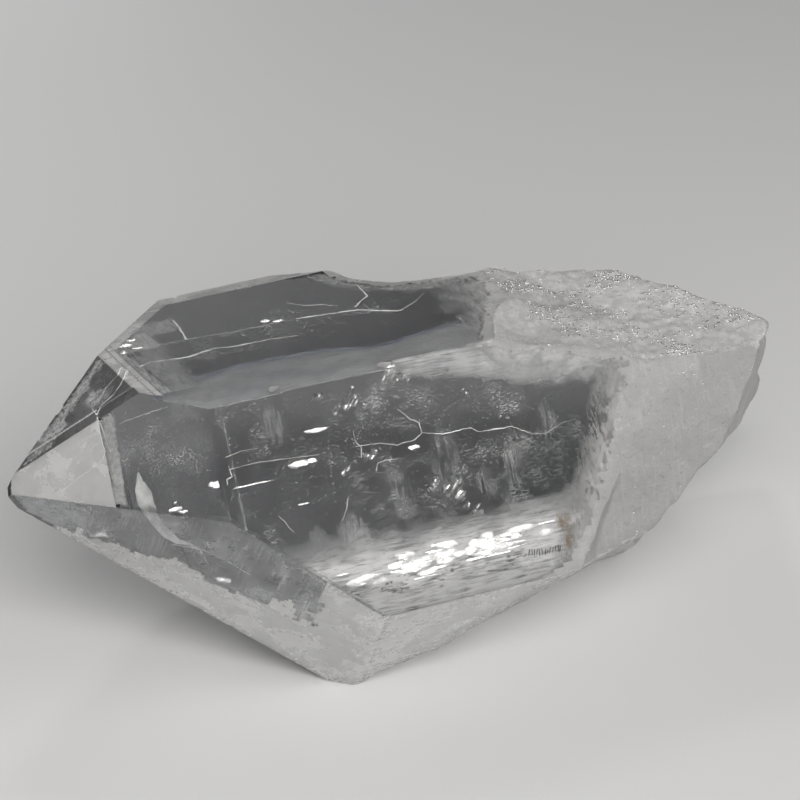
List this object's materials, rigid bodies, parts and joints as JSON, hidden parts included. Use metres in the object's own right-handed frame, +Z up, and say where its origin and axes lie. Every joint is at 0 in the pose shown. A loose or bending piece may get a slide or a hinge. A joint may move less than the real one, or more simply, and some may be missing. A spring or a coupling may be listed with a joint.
{
  "type": "quartz crystal",
  "caption": "Clear quartz crystal lying on a prism face, with a faceted natural point at one end and a frosted, rough break at the other.",
  "frame": {"origin": "bottom centre of the bounding box, on the surface the crystal lies on", "axes": "+X along the crystal's long axis from the point towards the broken end, +Z up, -Y towards the broad front face"},
  "size_m": [0.1112, 0.0486, 0.0385],
  "materials": {
    "quartz": "clear crystal with striated faces, sealed veils and a frosted break"
  },
  "bodies": {
    "root": {"quartz_crystal": "quartz"}
  },
  "joints": []
}
